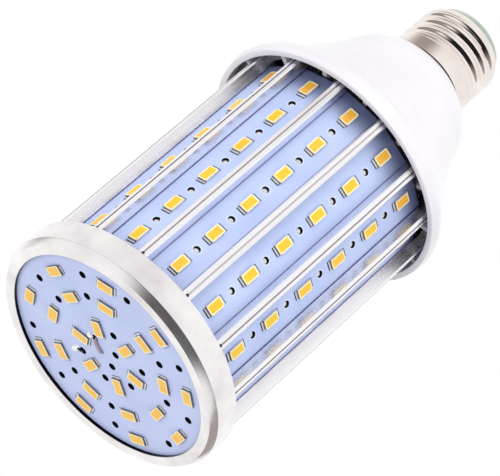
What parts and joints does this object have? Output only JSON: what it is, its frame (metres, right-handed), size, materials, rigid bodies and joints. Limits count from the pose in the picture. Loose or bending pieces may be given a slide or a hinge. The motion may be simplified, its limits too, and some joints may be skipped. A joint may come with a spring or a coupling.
{
  "type": "corn led bulb",
  "caption": "Cylindrical corn-type LED bulb: finned aluminium body with light strips all round and on its end, white collar and a screw cap.",
  "frame": {"origin": "centre of the end ring's front face, on which the bulb stands", "axes": "+Z along the bulb's axis from the round light board to the cap's centre contact; -Y is the side whose rib faces the camera in the picture"},
  "size_m": [0.0746, 0.0746, 0.1526],
  "materials": {
    "sink_aluminium": "bright extruded",
    "ring_aluminium": "satin turned",
    "board_mask": "pale blue-white solder mask on an aluminium board",
    "light_package": "white package with a warm yellow phosphor well",
    "solder": "bright solder",
    "lead_sleeve_red": "soft sleeve",
    "lead_sleeve_black": "soft sleeve",
    "collar_plastic": "glossy white moulding",
    "cap_nickel": "bright nickel plate",
    "insulator_body": "pale grey-green",
    "contact_metal": "plated and soldered",
    "plate_plastic": "white moulding",
    "screw_steel": "zinc plated",
    "driver_laminate": "green laminate",
    "capacitor_sleeve": "dark sleeve",
    "choke_sleeve": "heat-shrink sleeve",
    "transformer_core": "taped winding",
    "bridge_case": "moulded case"
  },
  "bodies": {
    "root": {"heat_sink": "sink_aluminium", "strip_board_01": "board_mask", "strip_lights_01": "light_package", "strip_board_02": "board_mask", "strip_lights_02": "light_package", "strip_board_03": "board_mask", "strip_lights_03": "light_package", "strip_board_04": "board_mask", "strip_lights_04": "light_package", "strip_board_05": "board_mask", "strip_lights_05": "light_package", "strip_board_06": "board_mask", "strip_lights_06": "light_package", "strip_board_07": "board_mask", "strip_lights_07": "light_package", "strip_board_08": "board_mask", "strip_lights_08": "light_package", "strip_board_09": "board_mask", "strip_lights_09": "light_package", "strip_board_10": "board_mask", "strip_lights_10": "light_package", "strip_board_11": "board_mask", "strip_lights_11": "light_package", "strip_board_12": "board_mask", "strip_lights_12": "light_package", "strip_board_13": "board_mask", "strip_lights_13": "light_package", "strip_board_14": "board_mask", "strip_lights_14": "light_package", "front_ring": "ring_aluminium", "end_board": "board_mask", "end_lights": "light_package", "end_solder": "solder", "lead_positive": "lead_sleeve_red", "lead_negative": "lead_sleeve_black", "collar": "collar_plastic", "cap_shell": "cap_nickel", "cap_insulator": "insulator_body", "cap_contact": "contact_metal", "end_plate": "plate_plastic", "plate_screws": "screw_steel", "driver_board": "driver_laminate", "driver_capacitor": "capacitor_sleeve", "driver_choke": "choke_sleeve", "driver_transformer": "transformer_core", "driver_bridge": "bridge_case", "contact_lead": "lead_sleeve_red", "shell_lead": "lead_sleeve_black"}
  },
  "joints": []
}
